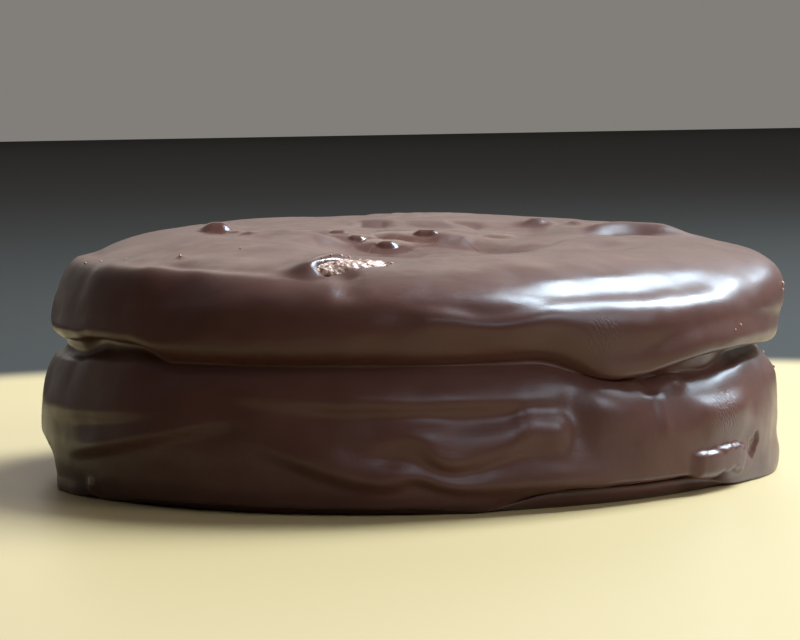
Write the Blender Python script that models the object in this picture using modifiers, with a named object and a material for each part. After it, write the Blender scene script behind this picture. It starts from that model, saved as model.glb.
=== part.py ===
"""Chocolate coated alfajor: two round biscuits pressed together under one unbroken coat, and the bit of
biscuit that shows where the coat has cracked on top.

The coat is one solid. A turned profile gives the two biscuits and the waist between them. Named folds then
push its surface in or out along short paths, as the set chocolate does on a real one.

Frame: +Z up, the underside rests on Z = 0, and the origin is under the middle of the bounding box. The front
looks along -Y. An azimuth is in degrees from the front (-Y) towards +X.
"""

import math
import random

import bmesh
import bpy
import numpy as np
from mathutils import Matrix, Vector
from mathutils.bvhtree import BVHTree

MM = 0.001

# Driving dimensions, in metres.
LOWER_RADIUS = 31.0 * MM
UPPER_RADIUS = 30.6 * MM
WAIST_RADIUS = 28.8 * MM
CONTACT_RADIUS = 30.1 * MM
WAIST_HEIGHT = 11.3 * MM
LOWER_BELLY_HEIGHT = 5.2 * MM
UPPER_BELLY_HEIGHT = 14.6 * MM
CREST_HEIGHT = 19.8 * MM
CREST_RADIUS = 19.0 * MM

# How the two biscuits sit: the lower one's middle, the upper one's shift and the slopes of the top face.
LOWER_CENTRE = Vector((-0.30 * MM, 0.30 * MM, 0.0))
UPPER_SHIFT_X = 0.75 * MM
TOP_RISE_TO_BACK = 0.034
TOP_FALL_TO_RIGHT = 0.014

# Mesh fineness.
TURN_STEPS = 96
RINGS_PER_SPAN = 2
POINTS_PER_MARK = 5
FOLD_FADE = 0.3  # share of a fold's length over which each of its ends dies away

# The waist wanders up and down: path as (azimuth, height in mm), lift in mm, reach in mm.
WAIST_BENDS = {
    "high, left": (((-66, 11.3), (-40, 11.3)), 1.0, 12.0),
    "low, front right": (((18, 11.3), (40, 11.3), (66, 11.3)), -1.7, 8.0),
    "low, right": (((50, 11.3), (76, 11.3), (104, 11.3)), -0.8, 7.0),
    "high, back right": (((120, 11.3), (150, 11.3)), 0.8, 12.0),
    "low, back left": (((200, 11.3), (225, 11.3)), -0.9, 12.0),
}

# Folds on the side: path as (azimuth, height in mm), push outwards in mm, and reach in mm, which is
# (above, below) where the two sides of the fold differ. Paths run towards larger azimuths.
SIDE_FOLDS = {
    "full shoulder, left": (
        ((-112, 17.7), (-90, 17.9), (-66, 17.9), (-40, 17.8), (-14, 17.4)), 0.55, (1.7, 3.0)),
    "full shoulder, right": (((64, 15.9), (90, 16.3), (116, 16.2)), 0.80, 4.5),
    "lip over the waist, left": (((-84, 12.6), (-64, 12.7), (-54, 13.2), (-30, 12.4)), 0.28, (1.9, 1.2)),
    "lip over the waist, right": (
        ((18, 11.2), (33, 10.3), (44, 11.4), (58, 11.9), (80, 11.6), (104, 11.6)), 0.72, (2.0, 1.2)),
    "groove under the lip, left": (((-124, 11.7), (-78, 11.9), (-58, 12.0), (-36, 11.6)), -0.60, 1.6),
    "groove under the lip, right": (((36, 9.6), (46, 10.2), (58, 10.6), (84, 10.3)), -0.60, 1.4),
    "sag, front right": (((-3, 15.3), (5, 14.8), (10, 14.2), (15, 14.3), (25, 15.8)), 0.35, (1.2, 2.0)),
    "flat shoulder, front right": (((10, 16.5), (34, 16.5), (62, 16.7)), -0.35, 2.3),
    "soft hollow, left": (((-58, 16.2), (-30, 16.0)), -0.25, 3.5),
    "belt, lower biscuit": (((-40, 9.6), (-14, 8.9), (6, 8.6), (28, 8.8)), 0.35, (2.6, 1.2)),
    "valley under the belt": (((-24, 7.2), (-4, 7.6), (10, 7.5), (26, 7.9)), -0.28, (1.0, 1.8)),
    "crease, left": (((-84, 6.6), (-62, 6.9), (-43, 7.5), (-26, 9.0)), 0.35, (2.6, 1.0)),
    "slanting fold, left": (((-66, 3.4), (-51, 4.7), (-39, 6.0), (-22, 8.0)), 0.45, (2.0, 0.9)),
    "belly wave": (((-6, 6.6), (0.5, 6.0), (3, 4.8), (6, 4.1), (12, 4.9), (20, 5.8)), 0.45, (2.8, 1.1)),
    "apron edge": (
        ((-28, 6.4), (-20, 5.0), (-10, 3.2), (-4, 2.7), (0, 3.3), (6, 2.4), (16, 2.3), (28, 2.3), (42, 2.6)),
        0.55, (2.4, 1.0)),
    "swell, right": (((25, 8.2), (30, 8.4), (35, 8.4)), 0.50, 3.4),
    "swell, front right": (((13, 7.2), (18, 6.7), (24, 5.6)), 0.45, (1.6, 2.4)),
    "swell, far right": (((44, 6.6), (54, 6.3), (64, 6.8)), 0.32, (1.6, 2.8)),
    "valley before the bulge": (((22.5, 9.8), (24, 7.0), (23.5, 4.0)), -0.28, 2.0),
    "straight flank, right": (((66, 8.4), (86, 8.0), (108, 8.4)), 0.30, 3.0),
    "flap, lower right": (((43, 2.4), (50.5, 2.1), (57, 2.5), (63, 1.9)), 0.42, 1.4),
    "gap under the skirt": (((8, 0.2), (20, 0.3), (40, 0.4), (62, 0.3)), -1.90, (1.6, 1.5)),
    "undercut, left": (((-124, 0.8), (-96, 0.8), (-70, 1.2)), -2.40, 3.4),
}
FOOT_FOLDS = {
    "foot, right": (((60, 0.15), (80, 0.15), (114, 0.15)), 0.75, 3.2),
    "foot, left": (((-76, 0.15), (-67, 0.15), (-58, 0.15)), 0.50, 1.4),
}

# Folds on top: path as (x, y) in mm, push upwards in mm, and reach in mm, as (behind, in front) where the
# two sides differ. Paths run towards larger x.
TOP_FOLDS = {
    "hollow in the middle": (((-10, -5), (-3, -8), (4, -8), (12, -4)), -0.95, 9.5),
    "hollow, back right": (((4, 4), (9, 6), (14, 6)), -0.40, 6.5),
    "near edge of the hollow": (((-2, -19.4), (3, -18.6), (8, -17.0), (11, -11)), 0.22, (1.2, 3.5)),
    "near edge, right": (((8, -12), (11, -7.5), (16, -3.5), (19, -1.0)), 0.45, (1.6, 4.5)),
    "sheet left of the crack": (((-22, -9), (-14, -10), (-5, -14)), 0.50, 6.5),
    "edge of that sheet": (((-16, -1.5), (-10, -2.0), (-5, -4.0)), 0.45, (1.5, 5.0)),
    "rim behind the crack": (
        ((-8.9, -25.3), (-8.2, -24.2), (-7.4, -22.9), (-6.4, -21.5), (-5.4, -20.2), (-4.0, -19.4)),
        1.00, (3.2, 1.9)),
    "nodule": (((-17.6, 3.0), (-16.2, 2.8), (-14.8, 2.4)), 0.95, 2.2),
    "bump in the middle": (((-2.4, 0.8), (0.4, 0.8), (3.2, 0.8)), 0.60, 2.6),
    "fold, right": (((14, 2.5), (18, 4.0), (22, 3.5), (24, 2.0)), 0.75, (3.0, 1.8)),
    "crease before the fold": (((14, 0.0), (18, 1.2), (22, 1.0)), -0.40, 1.6),
    "dip at the back": (((-15, 17), (-10, 19.5), (-3, 20.5)), -0.85, 5.0),
}

# Folds that nobody has counted go round the back, and pits and bumps over the top.
BACK_FOLDS = 16
BACK_FROM, BACK_TO = 92.0, 268.0
BACK_PUSH = 0.42
BACK_REACH = (2.0, 3.6)
BACK_SEED = 8
TOP_PITS = 14
TOP_PITS_RADIUS = 19.0
TOP_PITS_PUSH = 0.35
TOP_PITS_REACH = (2.0, 3.4)
TOP_PITS_SEED = 9

# The bit of biscuit in the crack, and the seat that the coat leaves for it.
CRUMB_CENTRE = Vector((-4.6, -22.2, 18.22)) * MM
CRUMB_HALF_SIZE = Vector((3.4, 1.15, 0.75)) * MM
CRUMB_LEAN = math.radians(18.0)
CRUMB_TURN = math.radians(25.0)
CRUMB_LUMP = 0.10 * MM
CRUMB_SEGMENTS = 20
CRUMB_SEED = 3
SEAT_GAP = 0.3 * MM


def clear_scene():
    for obj in list(bpy.data.objects):
        bpy.data.objects.remove(obj)


def new_collection(name):
    collection = bpy.data.collections.new(name)
    bpy.context.scene.collection.children.link(collection)
    return collection


def make_material(name, colour, roughness):
    material = bpy.data.materials.new(name)
    material.use_nodes = True
    shader = material.node_tree.nodes["Principled BSDF"]
    shader.inputs["Base Color"].default_value = (*colour, 1.0)
    shader.inputs["Roughness"].default_value = roughness
    shader.inputs["Metallic"].default_value = 0.0
    return material


def smooth_step(share):
    share = np.clip(share, 0.0, 1.0)
    return share * share * (3.0 - 2.0 * share)


def smooth_line(points, per_span):
    """The points with per_span - 1 more between each pair, on a Catmull-Rom curve through all of them."""
    ends = [Vector(point) for point in (points[0], *points, points[-1])]
    line = []
    for a, b, c, d in zip(ends, ends[1:], ends[2:], ends[3:]):
        for i in range(per_span):
            t = i / per_span
            line.append(0.5 * (2 * b + (c - a) * t + (2 * a - 5 * b + 4 * c - d) * t * t
                               + (3 * b - a - 3 * c + d) * t ** 3))
    line.append(ends[-1])
    return line


def outer_profile():
    """The outline of half the biscuit, from the middle of the top down the side to its foot."""
    shoulder = CREST_HEIGHT - UPPER_BELLY_HEIGHT
    lip = UPPER_BELLY_HEIGHT - WAIST_HEIGHT
    flank = WAIST_HEIGHT - LOWER_BELLY_HEIGHT
    dish = 0.3 * MM
    corners = [
        *((share * CREST_RADIUS, CREST_HEIGHT - (1.0 - share) * dish) for share in (0.0, 0.2, 0.4, 0.6, 0.8)),
        (CREST_RADIUS, CREST_HEIGHT),
        (0.73 * UPPER_RADIUS, UPPER_BELLY_HEIGHT + 0.955 * shoulder),
        (0.83 * UPPER_RADIUS, UPPER_BELLY_HEIGHT + 0.84 * shoulder),
        (0.915 * UPPER_RADIUS, UPPER_BELLY_HEIGHT + 0.64 * shoulder),
        (0.972 * UPPER_RADIUS, UPPER_BELLY_HEIGHT + 0.37 * shoulder),
        (UPPER_RADIUS, UPPER_BELLY_HEIGHT),
        (UPPER_RADIUS - 0.15 * MM, WAIST_HEIGHT + 0.48 * lip),
        (UPPER_RADIUS - 0.70 * MM, WAIST_HEIGHT + 0.20 * lip),
        (WAIST_RADIUS, WAIST_HEIGHT),
        (LOWER_RADIUS - 1.35 * MM, WAIST_HEIGHT - 0.12 * flank),
        (LOWER_RADIUS - 0.45 * MM, WAIST_HEIGHT - 0.45 * flank),
        (LOWER_RADIUS, LOWER_BELLY_HEIGHT),
        (LOWER_RADIUS - 0.15 * MM, 0.60 * LOWER_BELLY_HEIGHT),
        (CONTACT_RADIUS + 0.60 * MM, 0.27 * LOWER_BELLY_HEIGHT),
        (CONTACT_RADIUS, 0.0),
    ]
    return [Vector((r, 0.0, z)) for r, z in smooth_line(corners, RINGS_PER_SPAN)]


def turned_mesh(name, line):
    """The line turned once round the Z axis."""
    mesh = bpy.data.meshes.new(name)
    mesh.from_pydata(line, [(i, i + 1) for i in range(len(line) - 1)], [])
    profile = bpy.data.objects.new(name + "_profile", mesh)
    bpy.context.scene.collection.objects.link(profile)
    turn = profile.modifiers.new("turn", "SCREW")
    turn.steps = turn.render_steps = TURN_STEPS
    turn.use_merge_vertices = True
    turn.merge_threshold = 0.01 * MM
    turned = bpy.data.meshes.new_from_object(profile.evaluated_get(bpy.context.evaluated_depsgraph_get()))
    bpy.data.objects.remove(profile)
    turned.name = name
    return turned


def places_of(mesh):
    places = np.empty((len(mesh.vertices), 3), dtype=np.float32)
    mesh.vertices.foreach_get("co", places.ravel())
    return places


def normals_of(mesh):
    normals = np.empty((len(mesh.vertices), 3), dtype=np.float32)
    mesh.vertex_normals.foreach_get("vector", normals.ravel())
    return normals


def set_places(mesh, places):
    mesh.vertices.foreach_set("co", places.astype(np.float32).ravel())
    mesh.update()


def settle(mesh):
    """Shift both biscuits to where they sit, and slope the top face."""
    places = places_of(mesh)
    x, y, z = places.T
    above = smooth_step((z - WAIST_HEIGHT) / (UPPER_BELLY_HEIGHT - WAIST_HEIGHT))
    top = smooth_step((z - UPPER_BELLY_HEIGHT) / (CREST_HEIGHT - UPPER_BELLY_HEIGHT))
    rise = (TOP_RISE_TO_BACK * y - TOP_FALL_TO_RIGHT * x) * top
    set_places(mesh, np.stack((x + UPPER_SHIFT_X * above, y, z + rise), axis=1) + np.array(LOWER_CENTRE))


def tree_of(mesh):
    return BVHTree.FromPolygons([v.co for v in mesh.vertices], [p.vertices for p in mesh.polygons])


def side_path(tree, marks):
    """Points of the surface along a curve through these (azimuth, height in mm) marks."""
    path = []
    for azimuth, height in smooth_line(marks, POINTS_PER_MARK):
        angle = math.radians(azimuth)
        start = Vector((0.0, 0.0, height * MM))
        path.append(tree.ray_cast(start, Vector((math.sin(angle), -math.cos(angle), 0.0)))[0])
    return np.array(path)


def top_path(tree, marks):
    """Points of the top face along a curve through these (x, y) marks in mm."""
    down = Vector((0.0, 0.0, -1.0))
    return np.array([tree.ray_cast(Vector((x * MM, y * MM, 2 * CREST_HEIGHT)), down)[0]
                     for x, y in smooth_line(marks, POINTS_PER_MARK)])


def fold_share(places, normals, path, reach):
    """How much of a fold along this path each place gets: 1 on it, dying away at the reach and the ends."""
    left, right = reach if isinstance(reach, tuple) else (reach, reach)
    nearest = np.full(len(places), np.inf)
    on_left = np.zeros(len(places), dtype=bool)
    along = np.zeros(len(places))
    run = 0.0
    for a, b in zip(path, path[1:]):
        length = float(np.linalg.norm(b - a))
        ahead = (b - a) / length
        t = np.clip((places - a) @ ahead, 0.0, length)
        off = places - (a + t[:, None] * ahead)
        gap = np.linalg.norm(off, axis=1)
        closer = gap < nearest
        nearest[closer] = gap[closer]
        on_left[closer] = np.einsum("ij,ij->i", off[closer], np.cross(normals[closer], ahead)) > 0.0
        along[closer] = run + t[closer]
        run += length
    fade = smooth_step(np.minimum(along, run - along) / (FOLD_FADE * run))
    return smooth_step(1.0 - nearest / (np.where(on_left, left, right) * MM)) * fade


def bend_waist(mesh):
    tree, places, normals = tree_of(mesh), places_of(mesh), normals_of(mesh)
    for marks, lift, reach in WAIST_BENDS.values():
        places[:, 2] += lift * MM * fold_share(places, normals, side_path(tree, marks), reach)
    set_places(mesh, places)


def fold(mesh, side_folds, top_folds):
    """Push the surface along its normals by all these folds at once."""
    tree, places, normals = tree_of(mesh), places_of(mesh), normals_of(mesh)
    push = np.zeros(len(places))
    for folds, path_of in ((side_folds, side_path), (top_folds, top_path)):
        for marks, amount, reach in folds:
            push += amount * MM * fold_share(places, normals, path_of(tree, marks), reach)
    set_places(mesh, places + normals * push[:, None])


def back_folds():
    """Short wandering folds on the half that faces away, some out and some in."""
    pick = random.Random(BACK_SEED)
    folds = []
    for i in range(BACK_FOLDS):
        azimuth = BACK_FROM + (BACK_TO - BACK_FROM) * (i + pick.random()) / BACK_FOLDS
        height = pick.choice((pick.uniform(2.0, 9.0), pick.uniform(13.4, 16.5)))
        drift = pick.uniform(-1.5, 1.5)
        half_length = pick.uniform(9.0, 20.0)
        marks = [(azimuth + side * half_length, height + side * drift) for side in (-1, 0, 1)]
        amount = BACK_PUSH * pick.choice((-1, 1)) * pick.uniform(0.6, 1.0)
        folds.append((marks, amount, pick.uniform(*BACK_REACH)))
    return folds


def top_pits():
    """Small pits and bumps, as short folds, scattered evenly over the top."""
    pick = random.Random(TOP_PITS_SEED)
    pits = []
    for i in range(TOP_PITS):
        radius = TOP_PITS_RADIUS * math.sqrt((i + 0.5) / TOP_PITS)
        angle = i * math.radians(137.5) + pick.uniform(-0.3, 0.3)
        x, y = radius * math.cos(angle), radius * math.sin(angle)
        lean = pick.uniform(-1.5, 1.5)
        marks = [(x - 2.0, y - lean), (x, y), (x + 2.0, y + lean)]
        pits.append((marks, TOP_PITS_PUSH * (-1) ** i * pick.uniform(0.5, 1.0), pick.uniform(*TOP_PITS_REACH)))
    return pits


def close_underside(bm):
    """The flat underside, where the coat set on its tray."""
    for vert in bm.verts:
        vert.co.z = max(vert.co.z, 0.0)
    rim = [edge for edge in bm.edges if edge.is_boundary]
    for edge in rim:
        for vert in edge.verts:
            vert.co.z = 0.0
    bmesh.ops.contextual_create(bm, geom=rim)
    bmesh.ops.recalc_face_normals(bm, faces=bm.faces)


def make_coat(material):
    mesh = turned_mesh("chocolate_coat", outer_profile())
    settle(mesh)
    bend_waist(mesh)
    fold(mesh, [*SIDE_FOLDS.values(), *FOOT_FOLDS.values(), *back_folds()], [*TOP_FOLDS.values(), *top_pits()])
    bm = bmesh.new()
    bm.from_mesh(mesh)
    close_underside(bm)
    bm.to_mesh(mesh)
    bm.free()
    mesh.shade_smooth()
    mesh.materials.append(material)
    return bpy.data.objects.new("chocolate_coat", mesh)


def crumb_shape(name, gap):
    """A rough flattened lump, grown by gap on every side."""
    pick = random.Random(CRUMB_SEED)
    bm = bmesh.new()
    bmesh.ops.create_uvsphere(bm, u_segments=CRUMB_SEGMENTS, v_segments=CRUMB_SEGMENTS // 2, radius=1.0)
    for vert in bm.verts:
        lump = CRUMB_LUMP * pick.uniform(-1.0, 1.0)
        vert.co = Vector((side * (half + gap + lump) for side, half in zip(vert.co, CRUMB_HALF_SIZE)))
    turn = Matrix.Rotation(CRUMB_TURN, 3, "Z") @ Matrix.Rotation(CRUMB_LEAN, 3, "X")
    bmesh.ops.rotate(bm, verts=bm.verts, cent=(0, 0, 0), matrix=turn)
    bmesh.ops.translate(bm, verts=bm.verts, vec=CRUMB_CENTRE)
    mesh = bpy.data.meshes.new(name)
    bm.to_mesh(mesh)
    bm.free()
    return bpy.data.objects.new(name, mesh)


def cut_seat(coat, cutters):
    cutter = crumb_shape("crumb_seat", SEAT_GAP)
    cutter.hide_render = True
    cutter.display_type = "WIRE"
    cutters.objects.link(cutter)
    cut = coat.modifiers.new("crumb seat", "BOOLEAN")
    cut.operation = "DIFFERENCE"
    cut.object = cutter
    return cutter


def centre_on_floor(objects, coat):
    """Put the origin under the middle of the coat's bounding box by moving every mesh."""
    places = places_of(coat.data)
    low, high = places.min(axis=0), places.max(axis=0)
    middle = Vector(((low[0] + high[0]) / 2, (low[1] + high[1]) / 2, low[2]))
    for obj in objects:
        obj.data.transform(Matrix.Translation(-middle))


def main():
    clear_scene()
    parts = new_collection("alfajor")
    cutters = new_collection("cutters")
    chocolate = make_material("milk_chocolate", (0.115, 0.052, 0.036), 0.32)
    biscuit = make_material("baked_biscuit", (0.48, 0.24, 0.10), 0.55)

    coat = make_coat(chocolate)
    parts.objects.link(coat)
    crumb = crumb_shape("biscuit_crumb", 0.0)
    crumb.data.materials.append(biscuit)
    parts.objects.link(crumb)
    cutter = cut_seat(coat, cutters)
    centre_on_floor([coat, crumb, cutter], coat)


main()
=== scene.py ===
"""Looks of a chocolate coated alfajor: its coat, the bare biscuit in the crack, loose crumbs and a stage.

Frame: +Z up, the underside rests on Z = 0, and the front looks along -Y. An azimuth is in degrees from the
front (-Y) towards +X, and sizes are in metres unless a comment says millimetres.
"""

import math
import random

import bmesh
import bpy
import numpy as np
from mathutils import Matrix, Vector, noise
from mathutils.bvhtree import BVHTree


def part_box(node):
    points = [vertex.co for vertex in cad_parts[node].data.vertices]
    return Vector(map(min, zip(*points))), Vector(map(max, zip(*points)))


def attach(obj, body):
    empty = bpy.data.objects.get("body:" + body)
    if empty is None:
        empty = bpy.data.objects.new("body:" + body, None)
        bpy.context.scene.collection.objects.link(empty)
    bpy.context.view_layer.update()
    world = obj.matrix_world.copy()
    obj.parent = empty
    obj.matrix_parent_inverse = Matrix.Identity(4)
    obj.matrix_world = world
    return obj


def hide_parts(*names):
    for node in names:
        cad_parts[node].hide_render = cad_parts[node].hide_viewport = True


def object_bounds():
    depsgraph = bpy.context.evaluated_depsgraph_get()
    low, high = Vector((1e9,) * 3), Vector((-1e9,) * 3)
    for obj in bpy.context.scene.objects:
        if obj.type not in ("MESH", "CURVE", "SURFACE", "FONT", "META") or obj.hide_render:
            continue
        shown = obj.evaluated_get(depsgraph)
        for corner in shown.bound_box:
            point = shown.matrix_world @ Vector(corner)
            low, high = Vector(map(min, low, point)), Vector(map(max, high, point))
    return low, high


bl_info = {
    "name": "Chocolate Alfajor",
    "version": (1, 0, 0),
    "blender": (4, 5, 0),
    "location": "3D View > Sidebar > Alfajor",
    "description": "Models a chocolate coated alfajor with a crack in its coat, and a stage for it",
    "category": "Add Mesh",
}

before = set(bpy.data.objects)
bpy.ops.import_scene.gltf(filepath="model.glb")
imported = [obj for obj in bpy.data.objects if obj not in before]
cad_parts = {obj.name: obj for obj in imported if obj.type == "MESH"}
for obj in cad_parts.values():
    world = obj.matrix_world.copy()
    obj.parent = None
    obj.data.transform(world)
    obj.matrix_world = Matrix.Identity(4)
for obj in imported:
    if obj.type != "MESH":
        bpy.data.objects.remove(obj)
CAD_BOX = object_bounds()
CRUMB_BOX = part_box("biscuit_crumb")
MM = 0.001

GOLDEN_ANGLE = math.radians(137.5)
RING_STEPS = 96
RINGS_PER_SPAN = 2  # rings for each span between two corners of the outline
POINTS_PER_MARK = 5  # points of a fold's path for each of its marks
FOLD_FADE = 0.3  # share of a fold's length over which each of its ends dies away
MOST_PUSH = 2.5 * MM  # the push that a painted weight of 1 stands for
TOP_DISH = 0.3 * MM  # the fall of the flat top towards its middle, over one crest radius
FOOT_INSETS = (0.4 * MM, 6.0 * MM)  # widths of the two rings that keep the edge of the underside crisp
OFF_FLOOR = 2.0 * MM  # height over which the coat's ripples grow from none at the floor to their full size
WAVES = (("wide_waves", 7.0 * MM, 1.0), ("fine_waves", 2.2 * MM, 0.25))  # name, grain, share of the ripple
DOME_POWER = 1.6  # a lump's dome falls away faster towards its foot as this grows
JAG_GRAIN = 0.9 * MM
JAG_RANGE = 4.0 * MM  # beyond this from its path, the torn edge of a fold need not be found

# The waist wanders up and down: path as (azimuth, height in mm), lift in mm, reach in mm.
WAIST_BENDS = {
    "high, left": (((-66, 11.3), (-40, 11.3)), 1.0, 12.0),
    "low, front right": (((18, 11.3), (40, 11.3), (66, 11.3)), -1.7, 8.0),
    "low, right": (((50, 11.3), (76, 11.3), (104, 11.3)), -0.8, 7.0),
    "high, back right": (((120, 11.3), (150, 11.3)), 0.8, 12.0),
    "low, back left": (((200, 11.3), (225, 11.3)), -0.9, 12.0),
}

# Folds on the side: path as (azimuth, height in mm), push outwards in mm, and reach in mm, which is
# (above, below) where the two sides of the fold differ. Paths run towards larger azimuths.
SIDE_FOLDS = {
    "full shoulder, left": (
        ((-112, 17.7), (-90, 17.9), (-66, 17.9), (-40, 17.8), (-14, 17.4)), 0.55, (1.7, 3.0)),
    "full shoulder, right": (((64, 15.9), (90, 16.3), (116, 16.2)), 0.80, 4.5),
    "pillow, front right": (((14, 14.4), (31, 14.0), (50, 14.4)), 0.12, 3.0),
    "valley from the crack": (((-12, 18.4), (-10, 17.2), (-9, 15.8)), -0.30, 1.6),
    "lip over the waist, left": (((-84, 12.6), (-64, 12.7), (-54, 13.2), (-30, 12.4)), 0.28, (1.9, 1.2)),
    "lip over the waist, right": (
        ((18, 11.2), (33, 10.3), (44, 11.4), (58, 11.9), (80, 11.6), (104, 11.6)), 0.72, (2.0, 1.2)),
    "groove under the lip, left": (((-124, 11.7), (-78, 11.9), (-58, 12.0), (-36, 11.6)), -0.60, 1.6),
    "groove under the lip, right": (((36, 9.6), (46, 10.2), (58, 10.6), (84, 10.3)), -0.60, 1.4),
    "sag, front right": (((-3, 15.3), (5, 14.8), (10, 14.2), (15, 14.3), (25, 15.8)), 0.35, (1.2, 2.0)),
    "flat shoulder, front right": (((10, 16.5), (34, 16.5), (62, 16.7)), -0.35, 2.3),
    "soft hollow, left": (((-58, 16.2), (-30, 16.0)), -0.25, 3.5),
    "belt, lower biscuit": (((-40, 9.6), (-14, 8.9), (6, 8.6), (28, 8.8)), 0.35, (2.6, 1.2)),
    "valley under the belt": (((-24, 7.2), (-4, 7.6), (10, 7.5), (26, 7.9)), -0.28, (1.0, 1.8)),
    "crease, left": (((-84, 6.6), (-62, 6.9), (-43, 7.5), (-26, 9.0)), 0.35, (2.6, 1.0)),
    "slanting fold, left": (((-66, 3.4), (-51, 4.7), (-39, 6.0), (-22, 8.0)), 0.45, (2.0, 0.9)),
    "belly wave": (((-6, 6.6), (0.5, 6.0), (3, 4.8), (6, 4.1), (12, 4.9), (20, 5.8)), 0.45, (2.8, 1.1)),
    "hollow under the wave": (((-8, 4.6), (-1, 4.2), (5, 3.2), (13, 3.8)), -0.30, 1.1),
    "apron edge": (
        ((-28, 6.4), (-20, 5.0), (-10, 3.2), (-4, 2.7), (0, 3.3), (6, 2.4), (16, 2.3), (28, 2.3), (42, 2.6)),
        0.55, (2.4, 1.0)),
    "swell, right": (((30, 8.4),), 0.55, 4.2),
    "swell under the waist": (((43.5, 9.3),), 0.45, 2.0),
    "swell, front right": (((13, 7.2), (18, 6.7), (24, 5.6)), 0.45, (1.6, 2.4)),
    "swell, far right": (((44, 6.6), (54, 6.3), (64, 6.8)), 0.32, (1.6, 2.8)),
    "valley before the bulge": (((22.5, 9.8), (24, 7.0), (23.5, 4.0)), -0.28, 2.0),
    "dip between the swells": (((38, 9.8), (38.5, 8.0)), -0.30, 1.2),
    "straight flank, right": (((66, 8.4), (86, 8.0), (108, 8.4)), 0.30, 3.0),
    "thin ridge, right": (((39.2, 8.6), (39.8, 4.6)), 0.16, 0.7),
    "gap under the skirt": (((8, 0.2), (20, 0.3), (40, 0.4), (62, 0.3)), -1.90, (1.6, 1.5)),
    "tuck under the front": (((-56, 0.1), (-28, 0.1), (14, 0.1)), -0.90, 0.75),
    "bead on the left foot": (((-56.6, 0.9),), 0.40, 1.1),
    "undercut, left": (((-124, 0.8), (-96, 0.8), (-70, 1.2)), -2.40, 3.4),
}
# Plates of coat with a torn edge: as the folds, but flat across with a steep rim.
TORN_FOLDS = {
    "flap, lower right": (((45, 2.4), (48, 2.3), (50.5, 2.1), (53, 2.5), (57, 2.5), (61.5, 1.9)), 0.42, 1.25),
    "notch beside the flap": (((62.5, 2.2), (64, 3.2), (65.5, 3.8)), -0.25, 0.7),
}
FOOT_FOLDS = {
    "foot, right": (((60, 0.15), (80, 0.15), (114, 0.15)), 0.75, 3.2),
    "foot, left": (((-76, 0.15), (-67, 0.15), (-58, 0.15)), 0.50, 1.4),
}

# Folds on top: path as (x, y) in mm, push upwards in mm, and reach in mm, as (behind, in front) where the
# two sides differ. Paths run towards larger x.
TOP_FOLDS = {
    "hollow in the middle": (((-10, -5), (-3, -8), (4, -8), (12, -4)), -0.95, 9.5),
    "hollow, back right": (((4, 4), (9, 6), (14, 6)), -0.40, 6.5),
    "near edge of the hollow": (((-2, -19.4), (3, -18.6), (8, -17.0), (11, -11)), 0.22, (1.2, 3.5)),
    "near edge, right": (((8, -12), (11, -7.5), (16, -3.5), (19, -1.0)), 0.45, (1.6, 4.5)),
    "sheet left of the crack": (((-22, -9), (-14, -10), (-5, -14)), 0.50, 6.5),
    "edge of that sheet": (((-16, -1.5), (-10, -2.0), (-5, -4.0)), 0.45, (1.5, 5.0)),
    "fold, right": (((14, 2.5), (18, 4.0), (22, 3.5), (24, 2.0)), 0.75, (3.0, 1.8)),
    "crease before the fold": (((14, 0.0), (18, 1.2), (22, 1.0)), -0.40, 1.6),
    "dip at the back": (((-15, 17), (-10, 19.5), (-3, 20.5)), -0.85, 5.0),
}

# Domed lumps on top, as (x, y), length along X, height and reach in mm.
TOP_LUMPS = (
    ((-16.4, 2.8), 0.6, 1.00, 1.6), ((-14.9, 1.2), 0.3, 0.30, 0.9), ((0.4, 0.8), 3.0, 0.30, 2.8),
    ((-2.2, -2.8), 1.0, 0.30, 2.1), ((-4.8, -0.8), 1.0, 0.20, 2.0), ((-6.4, 0.8), 1.2, 0.20, 2.0),
    ((3.4, -5.0), 3.0, 0.20, 2.4), ((11.0, 10.5), 1.0, 0.35, 1.8), ((7.6, 2.4), 0.6, 0.32, 1.9),
    ((-3.2, 6.5), 2.0, 0.20, 2.2), ((3.0, 7.0), 2.5, 0.22, 2.4), ((-10.0, -5.5), 1.5, 0.15, 1.8),
)

# Small drops on them that glint, in the same way.
TOP_DROPS = (
    ((-5.9, -0.2), 0.5, 0.22, 0.7), ((-4.4, -1.7), 0.4, 0.24, 0.7), ((-1.9, -3.2), 0.4, 0.30, 0.85),
    ((1.4, 0.2), 0.8, 0.34, 0.85), ((11.2, 10.2), 0.5, 0.25, 0.9),
    ((14.4, 9.3), 0.3, 0.30, 0.9), ((-13.6, -2.6), 0.3, 0.18, 0.6), ((-18.3, -15.7), 0.2, 0.22, 0.5),
)

# Folds that nobody has counted go round the back, and pits and bumps over the top.
BACK_FOLDS = 16
BACK_FROM, BACK_TO = 92.0, 268.0
BACK_PUSH = 0.42
BACK_REACH = (2.0, 3.6)
BACK_HEIGHTS = ((2.0, 9.0), (13.4, 16.5))  # on the lower or on the upper biscuit
BACK_HALF_LENGTH = (9.0, 20.0)
BACK_DRIFT = 1.5  # how far a fold climbs or falls from its middle to an end
BACK_SEED = 8
TOP_PITS = 14
TOP_PITS_RADIUS = 19.0
TOP_PITS_PUSH = 0.35
TOP_PITS_REACH = (2.0, 3.4)
TOP_PITS_HALF_LENGTH = 2.0
TOP_PITS_LEAN = 1.5
TOP_PITS_SEED = 9

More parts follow.
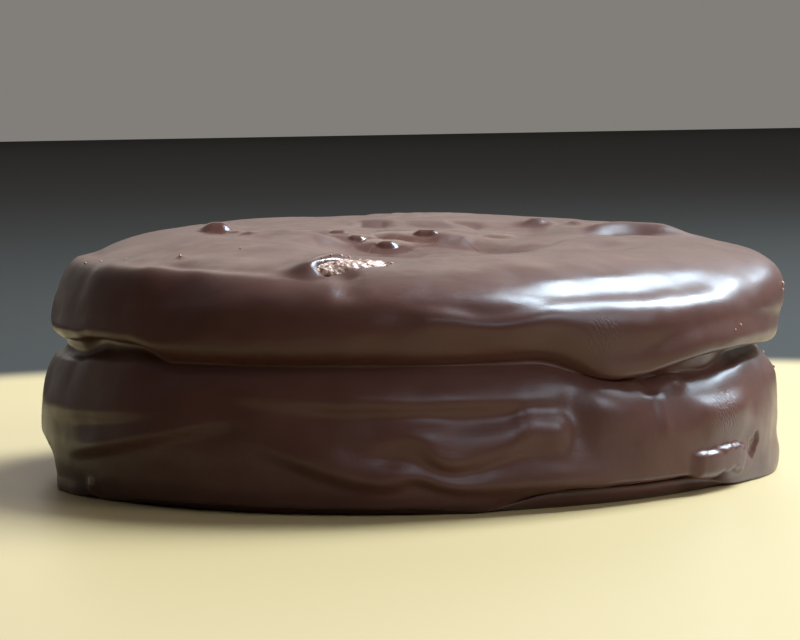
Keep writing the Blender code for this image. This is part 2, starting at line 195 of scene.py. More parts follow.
# The crack: the middle of its floor, and the rolled rim behind it, as folds on top.
CRACK_FLOOR = (((-7.4, -24.4), (-5.9, -23.3), (-4.3, -22.2), (-3.0, -21.6), (-1.6, -21.5)), -0.55, 1.0)
CRACK_RIM = (
    ((-8.9, -25.3), (-8.2, -24.2), (-7.4, -22.9), (-6.4, -21.5), (-5.4, -20.2), (-4.0, -19.4)),
    0.78, (3.0, 1.9))

# How steep and how ragged the edges of the torn plates and of the crack are: the share of the reach over
# which they fall, and how far they stray in mm.
STEEP_EDGE = 0.5
TORN_STRAY = 0.25
CRACK_STRAY = 0.15

# Where the coat's mesh is finer, in mm: patches of the top as their low and high (x, y) corners, cut once
# round the whole crack and once more closer to it, the nodule as (x, y) and radius, and the torn flap.
TOP_FROM = 14.0
CRACK_PATCH = ((-10.5, -26.0), (1.0, -18.0))
CRACK_EDGE_PATCH = ((-9.4, -25.8), (-0.6, -18.8))
BUMPS_PATCH = ((-8.0, -5.5), (6.0, 8.6))
NODULE_PATCH = ((-16.2, 2.4), 2.6)
FLAP_AZIMUTHS = (42.0, 68.0)
FLAP_HEIGHTS = (0.4, 4.4)
FLAP_INNER_RADIUS = 26.0

# Where the coat set smoothest, and where it wrinkled as it set, as (place in mm, reach in mm).
SMOOTHEST = (
    ((-5.9, -21.4, 19.3), 2.8), ((-16.0, 2.4, 20.6), 2.2), ((-1.0, -1.0, 19.6), 4.5), ((7.4, 2.4, 19.6), 2.4),
    ((-25.9, -17.0, 0.9), 1.6))
WRINKLED = (((25.0, -18.2, 6.6), 2.4), ((14.4, -26.6, 13.2), 2.0))

# Loose crumbs on the coat: on the rim of the crack and on top as (x, y, size), and on the side as
# (azimuth, height, size), sizes and places in mm.
TOP_CRUMBS = (
    (-4.0, -19.9, 0.34), (-3.5, -20.2, 0.40), (-3.0, -20.4, 0.32), (-2.5, -20.7, 0.42), (-2.0, -20.9, 0.36),
    (-1.5, -21.2, 0.30), (-6.9, -22.6, 0.22), (-6.2, -21.8, 0.24), (-5.4, -21.2, 0.26), (-4.8, -20.6, 0.28),
    (-26.5, -9.0, 0.30), (-25.1, -10.8, 0.22), (-23.0, -11.4, 0.18), (-18.3, -15.7, 0.24),
    (-13.6, -14.0, 0.18),
)
SIDE_CRUMBS = (
    (79, 15.5, 0.45), (78, 15.0, 0.28), (57, 13.0, 0.28), (55, 12.7, 0.22), (84, 9.6, 0.40), (83, 8.4, 0.30))
CRUMB_HALVES = Vector((0.5, 0.42, 0.32))  # half sides of a loose crumb of size 1
CRUMB_LUMPS = (0.9, 0.5)  # grain and amount of its lumps, before it is scaled down from a radius of 1
CRUMB_SEED = 5

# The bare biscuit in the crack: half its length, depth and height, how it leans and turns, and its lumps
# as (name, grain, amount).
BISCUIT_HALF_SIZE = Vector((3.4, 1.15, 0.75)) * MM
BISCUIT_LEAN = math.radians(18.0)
BISCUIT_TURN = math.radians(25.0)
BISCUIT_LUMPS = (("lumps", 0.9 * MM, 0.45 * MM), ("crumbs", 0.25 * MM, 0.18 * MM))

# Stage: the pale paper is a round sheet that ends softly, between these two radii; beyond them its colour
# turns near black, which is painted shade for the far floor. Lights are (name, place, sides, watts, colour),
# and they all aim at the middle of the coat.
PAPER_EDGE = (0.092, 0.108)
LIGHTS = (
    ("key", (0.248, 0.143, 0.333), (0.18, 0.30), 8.9, (0.72, 0.88, 1.0)),
    ("back", (0.0, 1.30, 0.65), (1.30, 0.65), 2.5, (1.0, 0.90, 0.80)),
    ("fill", (0.12, -0.50, 0.30), (0.22, 0.18), 0.7, (0.80, 0.88, 1.0)),
    ("side", (0.45, -0.30, 0.28), (0.24, 0.20), 1.8, (0.85, 0.92, 1.0)),
)
LIGHTS_AIM = Vector((0, 0, 0.01))
CAMERA_PLACE = (-0.95 * MM, -267 * MM, 33.2 * MM)
CAMERA_TILT = math.radians(90 - 4.42)  # level, but for 4.42 degrees down
CAMERA_ROLL = math.radians(-1.0)
CAMERA_LENS = 142.7


class CoatSizes(bpy.types.PropertyGroup):
    """Sizes of the coated biscuit."""

    lower_radius: bpy.props.FloatProperty(
        name="Lower radius", description="Radius of the lower biscuit's belly",
        default=31.0 * MM, unit="LENGTH")
    upper_radius: bpy.props.FloatProperty(
        name="Upper radius", description="Radius of the upper biscuit's belly",
        default=30.6 * MM, unit="LENGTH")
    waist_radius: bpy.props.FloatProperty(
        name="Waist radius", description="Radius where the two biscuits meet",
        default=28.8 * MM, unit="LENGTH")
    contact_radius: bpy.props.FloatProperty(
        name="Contact radius", description="Radius of the flat underside",
        default=30.1 * MM, unit="LENGTH")
    waist_height: bpy.props.FloatProperty(
        name="Waist height", description="Height where the two biscuits meet",
        default=11.3 * MM, unit="LENGTH")
    lower_belly: bpy.props.FloatProperty(
        name="Lower belly height", description="Where the lower biscuit is widest",
        default=5.2 * MM, unit="LENGTH")
    upper_belly: bpy.props.FloatProperty(
        name="Upper belly height", description="Where the upper biscuit is widest",
        default=14.6 * MM, unit="LENGTH")
    crest_height: bpy.props.FloatProperty(
        name="Crest height", description="Height of the rim of the top face",
        default=19.8 * MM, unit="LENGTH")
    crest_radius: bpy.props.FloatProperty(
        name="Crest radius", description="Radius of the rim of the top face",
        default=19.0 * MM, unit="LENGTH")
    centre: bpy.props.FloatVectorProperty(
        name="Lower centre", description="Middle of the lower biscuit", size=3,
        default=(-0.30 * MM, 0.30 * MM, 0.0), subtype="TRANSLATION", unit="LENGTH")
    shift: bpy.props.FloatProperty(
        name="Upper shift", description="How far the upper biscuit sits to the right",
        default=0.75 * MM, unit="LENGTH")
    rise_to_back: bpy.props.FloatProperty(
        name="Rise to back", description="Slope of the top face, up to the back",
        default=0.034, unit="ROTATION")
    fall_to_right: bpy.props.FloatProperty(
        name="Fall to right", description="Slope of the top face, down to the right",
        default=0.014, unit="ROTATION")
    ripple: bpy.props.FloatProperty(
        name="Ripple", description="How far the surface wanders in and out",
        default=0.35 * MM, unit="LENGTH")


def rgb(hex_colour):
    """An sRGB hex colour as the linear red, green, blue and alpha that shaders take."""
    parts = [int(hex_colour[i:i + 2], 16) / 255 for i in (1, 3, 5)]
    return (*[c / 12.92 if c <= 0.04045 else ((c + 0.055) / 1.055) ** 2.4 for c in parts], 1.0)


class AlfajorLook(bpy.types.PropertyGroup):
    """Colours."""

    chocolate: bpy.props.FloatVectorProperty(
        name="Chocolate", description="Colour of the set milk chocolate", subtype="COLOR", size=3,
        default=rgb("#51332a")[:3], min=0.0, max=1.0)
    chocolate_dark: bpy.props.FloatVectorProperty(
        name="Chocolate, dark", description="Its darker patches", subtype="COLOR", size=3,
        default=rgb("#3d2520")[:3], min=0.0, max=1.0)
    biscuit: bpy.props.FloatVectorProperty(
        name="Biscuit", description="Colour of the baked biscuit", subtype="COLOR", size=3,
        default=rgb("#74503f")[:3], min=0.0, max=1.0)
    biscuit_pale: bpy.props.FloatVectorProperty(
        name="Biscuit, pale", description="Its pale broken grains", subtype="COLOR", size=3,
        default=rgb("#a78470")[:3], min=0.0, max=1.0)


def add_node(tree, kind, settings=None, links=None):
    """Add a node of this kind, set its attributes and inputs, and feed its inputs from these outputs."""
    node = tree.nodes.new(kind)
    for name, value in (settings or {}).items():
        if isinstance(name, int) or name in node.inputs:
            node.inputs[name].default_value = value
        else:
            setattr(node, name, value)
    for name, source in (links or {}).items():
        tree.links.new(source, node.inputs[name])
    return node


def start_material(name):
    """A new material, its node tree and its shader."""
    material = bpy.data.materials.new(name)
    material.use_nodes = True
    tree = material.node_tree
    return material, tree, tree.nodes["Principled BSDF"]


def smooth_step(share):
    share = np.clip(share, 0.0, 1.0)
    return share * share * (3.0 - 2.0 * share)


def smooth_line(points, per_span):
    """The points with per_span - 1 more between each pair, on a Catmull-Rom curve through all of them."""
    ends = [Vector(point) for point in (points[0], *points, points[-1])]
    line = []
    for a, b, c, d in zip(ends, ends[1:], ends[2:], ends[3:]):
        for i in range(per_span):
            t = i / per_span
            line.append(0.5 * (2 * b + (c - a) * t + (2 * a - 5 * b + 4 * c - d) * t * t
                               + (3 * b - a - 3 * c + d) * t ** 3))
    line.append(ends[-1])
    return line


def outer_profile(size):
    """The outline of half the biscuit as (radius, height), from its foot up its side to the flat of its
    top."""
    shoulder = size.crest_height - size.upper_belly
    lip = size.upper_belly - size.waist_height
    flank = size.waist_height - size.lower_belly
    flat = [(share * size.crest_radius, size.crest_height - (1.0 - share) * TOP_DISH)
            for share in (0.8, 0.6, 0.4)]
    corners = [
        (size.contact_radius, 0.0),
        (size.contact_radius + 0.60 * MM, 0.27 * size.lower_belly),
        (size.lower_radius - 0.15 * MM, 0.60 * size.lower_belly),
        (size.lower_radius, size.lower_belly),
        (size.lower_radius - 0.45 * MM, size.waist_height - 0.45 * flank),
        (size.lower_radius - 1.35 * MM, size.waist_height - 0.12 * flank),
        (size.waist_radius, size.waist_height),
        (size.upper_radius - 0.70 * MM, size.waist_height + 0.20 * lip),
        (size.upper_radius - 0.15 * MM, size.waist_height + 0.48 * lip),
        (size.upper_radius, size.upper_belly),
        (0.972 * size.upper_radius, size.upper_belly + 0.37 * shoulder),
        (0.915 * size.upper_radius, size.upper_belly + 0.64 * shoulder),
        (0.83 * size.upper_radius, size.upper_belly + 0.84 * shoulder),
        (0.73 * size.upper_radius, size.upper_belly + 0.955 * shoulder),
        (size.crest_radius, size.crest_height),
        *flat,
    ]
    return smooth_line(corners, RINGS_PER_SPAN)


def start_piece(name):
    """Name the primitive that was just added, and turn to its edit mode with vertices to pick."""
    piece = bpy.context.object
    piece.name = piece.data.name = name
    bpy.context.tool_settings.mesh_select_mode = (True, False, False)
    bpy.ops.object.mode_set(mode="EDIT")
    return piece


def pick(piece, wanted, parts="verts"):
    """Select the piece's vertices or faces that pass the test, in edit mode, and nothing else."""
    bpy.ops.mesh.select_all(action="DESELECT")
    bpy.ops.mesh.select_mode(type="VERT" if parts == "verts" else "FACE")
    shape = bmesh.from_edit_mesh(piece.data)
    for part in getattr(shape, parts):
        part.select = bool(wanted(part))
    shape.select_flush_mode()
    bmesh.update_edit_mesh(piece.data, loop_triangles=False, destructive=False)


def apply_modifier(piece, kind, **settings):
    """Add a modifier with these settings to the active piece, and apply it."""
    bpy.ops.object.modifier_add(type=kind)
    modifier = piece.modifiers[-1]
    for name, value in settings.items():
        setattr(modifier, name, value)
    bpy.ops.object.modifier_apply(modifier=modifier.name)


def raise_rings(size, line):
    """Extrude the selected ring up the line, ring by ring, and let the upper biscuit shift and tilt."""
    before = line[0]
    above_before, top_before = 0.0, 0.0
    for place in line[1:]:
        above = float(smooth_step((place[1] - size.waist_height) / (size.upper_belly - size.waist_height)))
        top = float(smooth_step((place[1] - size.upper_belly) / (size.crest_height - size.upper_belly)))
        step = Vector((size.shift * (above - above_before), 0.0, place[1] - before[1]))
        bpy.ops.mesh.extrude_region_move(TRANSFORM_OT_translate={"value": step})
        centre = Vector(size.centre) + Vector((size.shift * above, 0.0, place[1]))
        scale = place[0] / before[0]
        bpy.ops.transform.resize(value=(scale, scale, 1.0), center_override=centre)
        for slope, axis in ((size.rise_to_back, "X"), (size.fall_to_right, "Y")):
            if top > top_before:
                turn = -slope * (top - top_before)
                bpy.ops.transform.rotate(value=turn, orient_axis=axis, center_override=centre)
        before, above_before, top_before = place, above, top


def places_of(piece):
    places = np.empty((len(piece.data.vertices), 3), dtype=np.float32)
    piece.data.vertices.foreach_get("co", places.ravel())
    return places


def normals_of(piece):
    normals = np.empty((len(piece.data.vertices), 3), dtype=np.float32)
    piece.data.vertex_normals.foreach_get("vector", normals.ravel())
    return normals


def tree_of(piece):
    mesh = piece.data
    return BVHTree.FromPolygons([v.co for v in mesh.vertices], [p.vertices for p in mesh.polygons])


def side_spot(tree, azimuth, height):
    """The point of the side at an azimuth in degrees and a height in mm."""
    angle = math.radians(azimuth)
    outwards = Vector((math.sin(angle), -math.cos(angle), 0.0))
    return tree.ray_cast(Vector((0.0, 0.0, height * MM)), outwards)[0]


def top_spot(tree, x, y):
    """The point of the top at (x, y) in mm."""
    return tree.ray_cast(Vector((x * MM, y * MM, 2 * CAD_BOX[1].z)), Vector((0.0, 0.0, -1.0)))[0]


def jagged(places, amount):
    """Noise of up to this amount at each place, coarse and fine, to break the run of an edge."""
    return np.array([amount * noise.fractal(Vector(place) / JAG_GRAIN, 0.8, 2.0, 3) for place in places])


def fold_share(places, normals, path, reach, edge=1.0, torn=0.0):
    """How much of a fold along this path each place gets: 1 on the path, dying away over this share of its
    reach, and towards its two ends. Torn is how far, in mm, its edge strays."""
    left, right = reach if isinstance(reach, tuple) else (reach, reach)
    if len(path) == 1:
        return smooth_step((1.0 - np.linalg.norm(places - path[0], axis=1) / (reach * MM)) / edge)
    nearest = np.full(len(places), np.inf)
    on_left = np.zeros(len(places), dtype=bool)
    along = np.zeros(len(places))
    run = 0.0
    for a, b in zip(path, path[1:]):
        length = float(np.linalg.norm(b - a))
        ahead = (b - a) / length
        t = np.clip((places - a) @ ahead, 0.0, length)
        off = places - (a + t[:, None] * ahead)
        gap = np.linalg.norm(off, axis=1)
        closer = gap < nearest
        nearest[closer] = gap[closer]
        on_left[closer] = np.einsum("ij,ij->i", off[closer], np.cross(normals[closer], ahead)) > 0.0
        along[closer] = run + t[closer]
        run += length
    if torn:
        close = nearest < JAG_RANGE
        nearest[close] += jagged(places[close], torn * MM)
    fade = smooth_step(np.minimum(along, run - along) / (FOLD_FADE * edge * run))
    return smooth_step((1.0 - nearest / (np.where(on_left, left, right) * MM)) / edge) * fade


def shape_lumps(piece, lumps):
    """How far, in metres, the domed lumps of the top push each vertex of the piece."""
    tree, places = tree_of(piece), places_of(piece)
    push = np.zeros(len(places))
    for (x, y), length, height, reach in lumps:
        a, b = (np.array(top_spot(tree, x + side * length / 2, y)) for side in (-1, 1))
        share = np.clip((places - a) @ (b - a) / ((b - a) @ (b - a)), 0.0, 1.0)
        gap = np.linalg.norm(places - a - share[:, None] * (b - a), axis=1)
        dome = np.clip(1.0 - (gap / (reach * MM)) ** 2, 0.0, 1.0) ** DOME_POWER
        push = np.maximum(push, height * MM * dome)
    return push


def shape_folds(piece, spot_of, folds, edge=1.0, torn=0.0):
    """How far, in metres, all these folds together push each vertex of the piece."""
    tree, places, normals = tree_of(piece), places_of(piece), normals_of(piece)
    push = np.zeros(len(places))
    for marks, amount, reach in folds:
        path = np.array([spot_of(tree, *mark) for mark in smooth_line(marks, POINTS_PER_MARK)])
        push += amount * MM * fold_share(places, normals, path, reach, edge, torn)
    return push


def paint(piece, name, weights):
    """Paint these weights, one for each vertex, as a vertex group."""
    group = piece.vertex_groups.new(name=name)
    for index in np.flatnonzero(weights > 0.001):
        group.add([int(index)], float(weights[index]), "REPLACE")


def push_out(piece, push, direction="NORMAL"):
    """Move each vertex of the piece by its own distance, out or in, through two painted groups."""
    for name, side in (("out", 1.0), ("in", -1.0)):
        paint(piece, name, side * push / MOST_PUSH)
        apply_modifier(piece, "DISPLACE", direction=direction, strength=side * MOST_PUSH, mid_level=0.0,
                       vertex_group=name)
    piece.vertex_groups.clear()


def wander(piece, name, grain, amount, weights):
    """Let the surface wander in and out by up to half this amount, in soft clouds of this grain."""
    clouds = bpy.data.textures.new(name, "CLOUDS")
    clouds.noise_scale = grain
    clouds.noise_depth = 1
    paint(piece, name, weights)
    apply_modifier(piece, "DISPLACE", texture=clouds, strength=amount, mid_level=0.5, vertex_group=name)
    piece.vertex_groups.clear()


def back_folds():
    """Short wandering folds on the half that faces away, some out and some in."""
    pick_one = random.Random(BACK_SEED)
    folds = []
    for i in range(BACK_FOLDS):
        azimuth = BACK_FROM + (BACK_TO - BACK_FROM) * (i + pick_one.random()) / BACK_FOLDS
        height = pick_one.choice([pick_one.uniform(*span) for span in BACK_HEIGHTS])
        drift = pick_one.uniform(-BACK_DRIFT, BACK_DRIFT)
        half_length = pick_one.uniform(*BACK_HALF_LENGTH)
        marks = [(azimuth + side * half_length, height + side * drift) for side in (-1, 0, 1)]
        amount = BACK_PUSH * pick_one.choice((-1, 1)) * pick_one.uniform(0.6, 1.0)
        folds.append((marks, amount, pick_one.uniform(*BACK_REACH)))
    return folds


def top_pits():
    """Small pits and bumps, as short folds, scattered evenly over the top."""
    pick_one = random.Random(TOP_PITS_SEED)
    pits = []
    for i in range(TOP_PITS):
        radius = TOP_PITS_RADIUS * math.sqrt((i + 0.5) / TOP_PITS)
        angle = i * GOLDEN_ANGLE + pick_one.uniform(-0.3, 0.3)
        x, y = radius * math.cos(angle), radius * math.sin(angle)
        lean = pick_one.uniform(-TOP_PITS_LEAN, TOP_PITS_LEAN)
        marks = [(x + side * TOP_PITS_HALF_LENGTH, y + side * lean) for side in (-1, 0, 1)]
        amount = TOP_PITS_PUSH * (-1) ** i * pick_one.uniform(0.5, 1.0)
        pits.append((marks, amount, pick_one.uniform(*TOP_PITS_REACH)))
    return pits


def turn_coat(size):
    """The plain coat: one ring raised up the outline, closed over the top and under the foot."""
    line = outer_profile(size)
    bpy.ops.object.select_all(action="DESELECT")
    bpy.ops.mesh.primitive_circle_add(
        vertices=RING_STEPS, radius=line[0][0], fill_type="NOTHING", location=size.centre)
    bpy.ops.object.transform_apply(location=True, rotation=False, scale=False)
    coat = start_piece("coat")
    bpy.ops.mesh.select_all(action="SELECT")
    raise_rings(size, line)
    bpy.ops.mesh.fill_grid(span=RING_STEPS // 4)
    pick(coat, lambda vert: abs(vert.co.z) < 0.001 * MM)
    bpy.ops.mesh.edge_face_add()
    bpy.ops.mesh.select_mode(type="FACE")
    for width in FOOT_INSETS:
        bpy.ops.mesh.inset(thickness=width)
    bpy.ops.object.mode_set(mode="OBJECT")
    apply_modifier(coat, "SUBSURF", levels=2, render_levels=2)
    bpy.ops.object.mode_set(mode="EDIT")
    bpy.ops.mesh.select_all(action="SELECT")
    bpy.ops.mesh.normals_make_consistent(inside=False)
    return coat


def refine(piece, wanted):
    """Cut the faces that pass the test in four, for finer detail there."""
    pick(piece, wanted, "faces")
    bpy.ops.mesh.subdivide(number_cuts=1)


def on_top(corners):
    """A test for the faces of the top whose middle is between two (x, y) corners in mm."""
    low, high = corners

    def wanted(face):
        spot = face.calc_center_median() / MM
        return spot.z > TOP_FROM and low[0] < spot.x < high[0] and low[1] < spot.y < high[1]
    return wanted


def near_nodule(face):
    spot = face.calc_center_median() / MM
    middle, radius = NODULE_PATCH
    return spot.z > TOP_FROM and (spot.xy - Vector(middle)).length < radius


def near_flap(face):
    spot = face.calc_center_median() / MM
    azimuth = math.degrees(math.atan2(spot.x, -spot.y))
    return (spot.xy.length > FLAP_INNER_RADIUS and FLAP_HEIGHTS[0] < spot.z < FLAP_HEIGHTS[1]
            and FLAP_AZIMUTHS[0] < azimuth < FLAP_AZIMUTHS[1])


class ALFAJOR_OT_coat(bpy.types.Operator):
    """Model the chocolate coat round both biscuits, with its folds and its crack"""

    bl_idname = "alfajor.coat"
    bl_label = "Chocolate coat"

    def execute(self, context):
        size = context.scene.alfajor_coat
        coat = turn_coat(size)
        patches = [on_top(corners) for corners in (CRACK_PATCH, CRACK_EDGE_PATCH, BUMPS_PATCH)]
        for wanted in (*patches, near_nodule, near_flap):
            refine(coat, wanted)
        bpy.ops.object.mode_set(mode="OBJECT")
        push_out(coat, shape_folds(coat, side_spot, WAIST_BENDS.values()), "Z")
        side_folds = [*SIDE_FOLDS.values(), *FOOT_FOLDS.values(), *back_folds()]
        top_folds = [*TOP_FOLDS.values(), *top_pits()]
        push_out(coat, shape_folds(coat, side_spot, side_folds) + shape_folds(coat, top_spot, top_folds))
        off_floor = smooth_step(places_of(coat)[:, 2] / OFF_FLOOR)
        for name, grain, share in WAVES:
            wander(coat, name, grain, share * size.ripple, off_floor)
        push_out(coat, shape_folds(coat, side_spot, TORN_FOLDS.values(), STEEP_EDGE, TORN_STRAY))
        push_out(coat, shape_lumps(coat, TOP_LUMPS))
        push_out(coat, shape_lumps(coat, TOP_DROPS))
        push_out(coat, shape_folds(coat, top_spot, [CRACK_RIM])
                 + shape_folds(coat, top_spot, [CRACK_FLOOR], STEEP_EDGE, CRACK_STRAY))
        bpy.ops.object.mode_set(mode="EDIT")
        pick(coat, lambda vert: vert.co.z < 0.0)
        bpy.ops.transform.resize(value=(1.0, 1.0, 0.0), center_override=(0.0, 0.0, 0.0))
        bpy.ops.object.mode_set(mode="OBJECT")
        bpy.ops.object.shade_smooth()
        coat.data.materials.append(chocolate_material(context.scene.alfajor_look))
        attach(coat, "root")
        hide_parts("chocolate_coat")
        return {"FINISHED"}


def near_spot(tree, place, centre, reach):
    """The output of a mask that is 1 round the centre, and dies away at the reach, both in mm."""
    gap = add_node(tree, "ShaderNodeVectorMath", {"operation": "DISTANCE", 1: Vector(centre) * MM},
                   {0: place})
    return add_node(tree, "ShaderNodeMapRange", {
        "interpolation_type": "SMOOTHSTEP", "From Min": reach * MM, "From Max": 0.5 * reach * MM},
        {"Value": gap.outputs["Value"]}).outputs["Result"]


def chocolate_material(look):
    """Milk chocolate, poured over the biscuits and left to set on a tray.

    It sets to a satin skin: a broad soft gloss from its fine crystals, with a sharper sheen where it set
    smooth, slow changes of brown, and a faint orange peel.
    """
    material, tree, shader = start_material("set_milk_chocolate")
    place = add_node(tree, "ShaderNodeTexCoord").outputs["Object"]
    patches = add_node(tree, "ShaderNodeTexNoise", {"Scale": 1 / (9.0 * MM), "Detail": 3.0, "Roughness": 0.6},
                       {"Vector": place})
    brown = add_node(tree, "ShaderNodeMix", {
        "data_type": "RGBA", 6: (*look.chocolate_dark, 1.0), 7: (*look.chocolate, 1.0)},
        {0: patches.outputs["Fac"]})
    tree.links.new(brown.outputs[2], shader.inputs["Base Color"])
    smears = add_node(tree, "ShaderNodeTexNoise", {"Scale": 1 / (4.0 * MM), "Detail": 4.0, "Roughness": 0.6},
                      {"Vector": place})
    dull = add_node(tree, "ShaderNodeMapRange", {
        "From Min": 0.3, "From Max": 0.7, "To Min": 0.28, "To Max": 0.42}, {"Value": smears.outputs["Fac"]})
    roughness = dull.outputs["Result"]
    for centre, reach in SMOOTHEST:
        roughness = add_node(tree, "ShaderNodeMix", {"data_type": "FLOAT", 3: 0.20}, {
            0: near_spot(tree, place, centre, reach), 2: roughness}).outputs[0]
    tree.links.new(roughness, shader.inputs["Roughness"])
    peel = add_node(tree, "ShaderNodeTexNoise", {"Scale": 1 / (0.9 * MM), "Detail": 2.0}, {"Vector": place})
    crystals = add_node(tree, "ShaderNodeTexNoise", {"Scale": 1 / (0.16 * MM), "Detail": 1.0},
                        {"Vector": place})
    soft = add_node(tree, "ShaderNodeBump", {"Strength": 1.0, "Distance": 0.012 * MM},
                    {"Height": peel.outputs["Fac"]})
    grain = add_node(tree, "ShaderNodeBump", {"Strength": 1.0, "Distance": 0.007 * MM},
                     {"Height": crystals.outputs["Fac"], "Normal": soft.outputs["Normal"]})
    wrinkles = add_node(tree, "ShaderNodeTexWave", {
        "bands_direction": "DIAGONAL", "Scale": math.tau / 20 / (0.34 * MM), "Distortion": 9.0, "Detail": 3.0,
        "Detail Scale": 2.0}, {"Vector": place})
    normal = grain.outputs["Normal"]
    for centre, reach in WRINKLED:
        normal = add_node(tree, "ShaderNodeBump", {"Distance": 0.02 * MM}, {
            "Strength": near_spot(tree, place, centre, reach), "Height": wrinkles.outputs["Fac"],
            "Normal": normal}).outputs["Normal"]
    tree.links.new(normal, shader.inputs["Normal"])
    shader.inputs["IOR"].default_value = 1.5
    shader.inputs["Specular IOR Level"].default_value = 0.26
    shader.inputs["Specular Tint"].default_value = (0.84, 0.93, 1.0, 1.0)
    shader.inputs["Subsurface Weight"].default_value = 0.04
    shader.inputs["Subsurface Radius"].default_value = (1.0, 0.5, 0.3)
    shader.inputs["Subsurface Scale"].default_value = 0.6 * MM
    return material


def biscuit_material(look):
    """Baked biscuit, broken open: dry golden crumb with pale broken grains and dark pores, and fat on it
    that glints."""
    material, tree, shader = start_material("baked_biscuit_crumb")
    place = add_node(tree, "ShaderNodeTexCoord").outputs["Object"]
    grains = add_node(tree, "ShaderNodeTexNoise", {"Scale": 1 / (0.5 * MM), "Detail": 4.0, "Roughness": 0.65},
                      {"Vector": place})
    share = add_node(tree, "ShaderNodeMapRange", {"From Min": 0.35, "From Max": 0.7},
                     {"Value": grains.outputs["Fac"]})
    golden = add_node(tree, "ShaderNodeMix", {
        "data_type": "RGBA", 6: (*look.biscuit, 1.0), 7: (*look.biscuit_pale, 1.0)},
        {0: share.outputs["Result"]})
    tree.links.new(golden.outputs[2], shader.inputs["Base Color"])
    rough = add_node(tree, "ShaderNodeMapRange", {"To Min": 0.25, "To Max": 0.65},
                     {"Value": grains.outputs["Fac"]})
    tree.links.new(rough.outputs["Result"], shader.inputs["Roughness"])
    bump = add_node(tree, "ShaderNodeBump", {"Strength": 1.0, "Distance": 0.08 * MM},
                    {"Height": grains.outputs["Fac"]})
    tree.links.new(bump.outputs["Normal"], shader.inputs["Normal"])
    shader.inputs["IOR"].default_value = 1.45
    return material


class ALFAJOR_OT_crumb(bpy.types.Operator):
    """Model the broken biscuit that shows in the crack"""

    bl_idname = "alfajor.crumb"
    bl_label = "Bare biscuit"

    def execute(self, context):
        middle = (CRUMB_BOX[0] + CRUMB_BOX[1]) / 2
        bpy.ops.object.select_all(action="DESELECT")
        bpy.ops.mesh.primitive_ico_sphere_add(subdivisions=6, radius=1.0, location=middle)
        crumb = context.object
        crumb.name = crumb.data.name = "crumb"
        crumb.scale = BISCUIT_HALF_SIZE
        crumb.rotation_euler = (BISCUIT_LEAN, 0.0, BISCUIT_TURN)
        bpy.ops.object.transform_apply(location=True, rotation=True, scale=True)
        everywhere = np.ones(len(crumb.data.vertices))
        for name, grain, amount in BISCUIT_LUMPS:
            wander(crumb, name, grain, amount, everywhere)
        bpy.ops.object.shade_smooth()
        crumb.data.materials.append(biscuit_material(context.scene.alfajor_look))
        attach(crumb, "root")
        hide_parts("biscuit_crumb")
        return {"FINISHED"}


class ALFAJOR_OT_crumbs(bpy.types.Operator):
    """Strew loose crumbs along the crack, over the top and on the side"""

    bl_idname = "alfajor.crumbs"
    bl_label = "Loose crumbs"

    def execute(self, context):
        tree = tree_of(bpy.data.objects["coat"])
        spots = [(top_spot(tree, x, y), size) for x, y, size in TOP_CRUMBS]
        spots += [(side_spot(tree, azimuth, height), size) for azimuth, height, size in SIDE_CRUMBS]
        bpy.ops.object.select_all(action="DESELECT")
        bpy.ops.mesh.primitive_ico_sphere_add(subdivisions=3, radius=1.0, location=(0.0, 0.0, 0.0))
        first = context.object
        wander(first, "crumb_shape", *CRUMB_LUMPS, np.ones(len(first.data.vertices)))
        pick_one = random.Random(CRUMB_SEED)
        crumbs = [first]
        for spot, size in spots[1:]:
            bpy.ops.object.select_all(action="DESELECT")
            first.select_set(True)
            context.view_layer.objects.active = first
            bpy.ops.object.duplicate(linked=False)
            crumbs.append(context.object)
        for crumb, (spot, size) in zip(crumbs, spots):
            crumb.location = spot
            crumb.rotation_euler = [pick_one.uniform(0.0, math.tau) for _ in range(3)]
            crumb.scale = CRUMB_HALVES * size * MM
            crumb.select_set(True)
        context.view_layer.objects.active = first
        bpy.ops.object.transform_apply(location=True, rotation=True, scale=True)
        bpy.ops.object.join()
        first.name = first.data.name = "loose_crumbs"
        bpy.ops.object.shade_smooth()
        first.data.materials.append(bpy.data.materials["baked_biscuit_crumb"])
        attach(first, "root")
        return {"FINISHED"}


def paper_material():
    """Matt pale paper with a slight sheen, as a round sheet whose colour fades softly into near black painted
    shade.
    """
    material, tree, shader = start_material("matt_paper")
    place = add_node(tree, "ShaderNodeTexCoord").outputs["Object"]
    away = add_node(tree, "ShaderNodeVectorMath", {"operation": "LENGTH"}, {0: place})
    far = add_node(tree, "ShaderNodeMapRange", {
        "interpolation_type": "SMOOTHSTEP", "From Min": PAPER_EDGE[0], "From Max": PAPER_EDGE[1]},
        {"Value": away.outputs["Value"]})
    # Painted shade: beyond the sheet's edge the floor colour fades to near black, so the far floor reads
    # dark.
    paper = add_node(tree, "ShaderNodeMix", {
        "data_type": "RGBA", 6: rgb("#a58f65"), 7: rgb("#2e2d2b")}, {0: far.outputs["Result"]})
    tree.links.new(paper.outputs[2], shader.inputs["Base Color"])
    for name, near, beyond in (("Roughness", 0.42, 0.9), ("Specular IOR Level", 0.8, 0.1)):
        gloss = add_node(tree, "ShaderNodeMapRange", {"To Min": near, "To Max": beyond}, {
            "Value": far.outputs["Result"]})
        tree.links.new(gloss.outputs["Result"], shader.inputs[name])
    return material


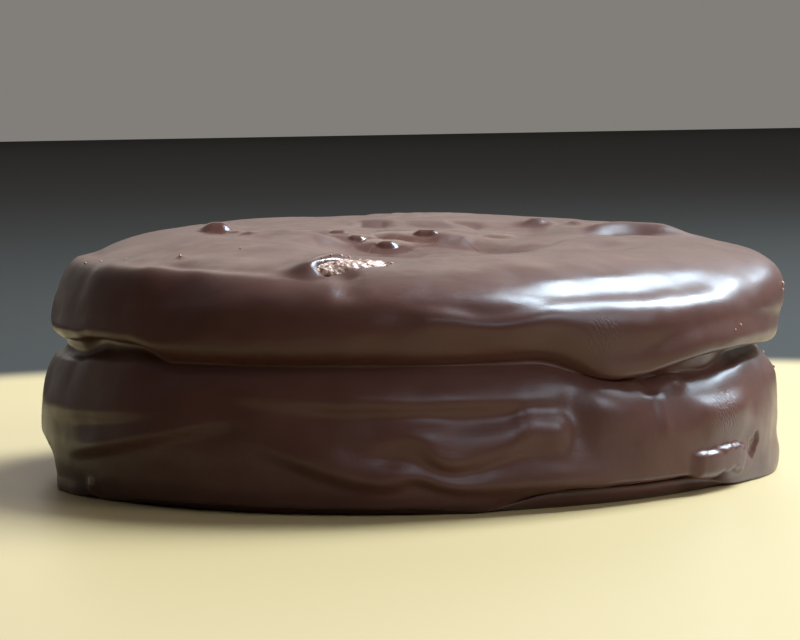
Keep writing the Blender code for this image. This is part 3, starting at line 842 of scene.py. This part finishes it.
def studio_world():
    """Dim walls all round: near black in front, a little lighter to the right, and warm grey behind."""
    world = bpy.data.worlds.new("studio")
    world.use_nodes = True
    tree = world.node_tree
    way = add_node(tree, "ShaderNodeSeparateXYZ", {}, {
        0: add_node(tree, "ShaderNodeTexCoord").outputs["Generated"]})
    side = add_node(tree, "ShaderNodeMapRange", {
        "interpolation_type": "SMOOTHSTEP", "From Min": -0.6, "From Max": 0.6},
        {"Value": way.outputs["X"]})
    front = add_node(tree, "ShaderNodeMix", {"data_type": "RGBA", 6: rgb("#1c1c24"), 7: rgb("#383844")},
                     {0: side.outputs["Result"]})
    ahead = add_node(tree, "ShaderNodeMapRange", {
        "interpolation_type": "SMOOTHSTEP", "From Min": -0.3, "From Max": 0.6},
        {"Value": way.outputs["Y"]})
    wall = add_node(tree, "ShaderNodeMix", {"data_type": "RGBA", 7: rgb("#827f7a")},
                    {0: ahead.outputs["Result"], 6: front.outputs[2]})
    tree.links.new(wall.outputs[2], tree.nodes["Background"].inputs["Color"])
    return world


class ALFAJOR_OT_stage(bpy.types.Operator):
    """Add the floor, the lights and the camera"""

    bl_idname = "alfajor.stage"
    bl_label = "Stage"

    def execute(self, context):
        bpy.ops.mesh.primitive_plane_add(size=3.0)
        floor = context.object
        floor.name = "floor"
        floor.data.materials.append(paper_material())
        context.scene.world = studio_world()
        for name, spot, sides, power, colour in LIGHTS:
            bpy.ops.object.light_add(type="AREA", location=spot)
            light = context.object
            light.name = light.data.name = name
            light.data.shape = "RECTANGLE"
            light.data.size, light.data.size_y = sides
            light.data.energy = power
            light.data.color = colour
            light.rotation_euler = (LIGHTS_AIM - Vector(spot)).to_track_quat("-Z", "Y").to_euler()
            light.visible_camera = False
        bpy.ops.object.camera_add()
        camera = context.object
        camera.data.lens = CAMERA_LENS
        camera.data.clip_start = 0.01
        camera.matrix_world = (Matrix.Translation(CAMERA_PLACE)
                               @ Matrix.Rotation(CAMERA_TILT, 4, "X")
                               @ Matrix.Rotation(CAMERA_ROLL, 4, "Z"))
        context.scene.camera = camera
        context.scene.view_settings.view_transform = "Standard"
        return {"FINISHED"}


class ALFAJOR_PT_panel(bpy.types.Panel):
    """Lists what can be added"""

    bl_label = "Alfajor"
    bl_idname = "ALFAJOR_PT_panel"
    bl_space_type = "VIEW_3D"
    bl_region_type = "UI"
    bl_category = "Alfajor"

    def draw(self, context):
        for operator in OPERATORS:
            self.layout.operator(operator.bl_idname)
        for settings in (context.scene.alfajor_coat, context.scene.alfajor_look):
            box = self.layout.box()
            for name in settings.__annotations__:
                box.prop(settings, name)


OPERATORS = (ALFAJOR_OT_coat, ALFAJOR_OT_crumb, ALFAJOR_OT_crumbs, ALFAJOR_OT_stage)
CLASSES = (CoatSizes, AlfajorLook, *OPERATORS, ALFAJOR_PT_panel)


def register():
    for cls in CLASSES:
        bpy.utils.register_class(cls)
    bpy.types.Scene.alfajor_coat = bpy.props.PointerProperty(type=CoatSizes)
    bpy.types.Scene.alfajor_look = bpy.props.PointerProperty(type=AlfajorLook)


def unregister():
    del bpy.types.Scene.alfajor_look
    del bpy.types.Scene.alfajor_coat
    for cls in reversed(CLASSES):
        bpy.utils.unregister_class(cls)


def main():
    register()
    bpy.ops.alfajor.coat()
    bpy.ops.alfajor.crumb()
    bpy.ops.alfajor.crumbs()
    bpy.ops.alfajor.stage()


if __name__ == "__main__":
    main()
